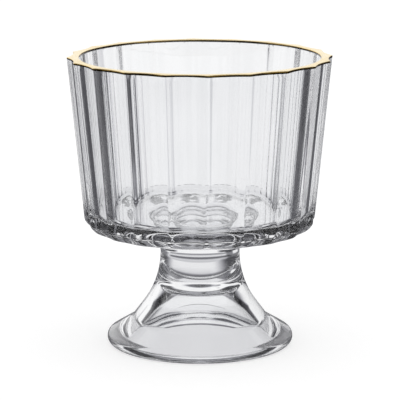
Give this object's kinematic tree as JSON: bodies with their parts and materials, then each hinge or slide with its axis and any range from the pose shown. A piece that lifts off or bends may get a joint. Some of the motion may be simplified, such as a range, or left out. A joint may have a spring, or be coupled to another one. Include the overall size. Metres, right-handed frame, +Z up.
{
  "type": "footed dessert glass",
  "caption": "Clear pressed-glass dessert cup: a tapering bowl fluted outside and smooth inside, with a gilded lip, on a short waisted stem and a hollow flared foot.",
  "frame": {"origin": "middle of the foot's resting ring, on the table", "axes": "+Z up along the glass's axis; a flute ridge lies on -Y, the side that faces the viewer, and on +X, -X and +Y"},
  "size_m": [0.0906, 0.0906, 0.1],
  "materials": {
    "clear_glass": "clear fire-polished soda-lime glass, smooth pressed surfaces",
    "fired_gold": "bright fired liquid gold, a thin mirror film with soft brushed unevenness"
  },
  "bodies": {
    "root": {"bowl": "clear_glass", "foot": "clear_glass", "rim_gilding": "fired_gold"}
  },
  "joints": []
}
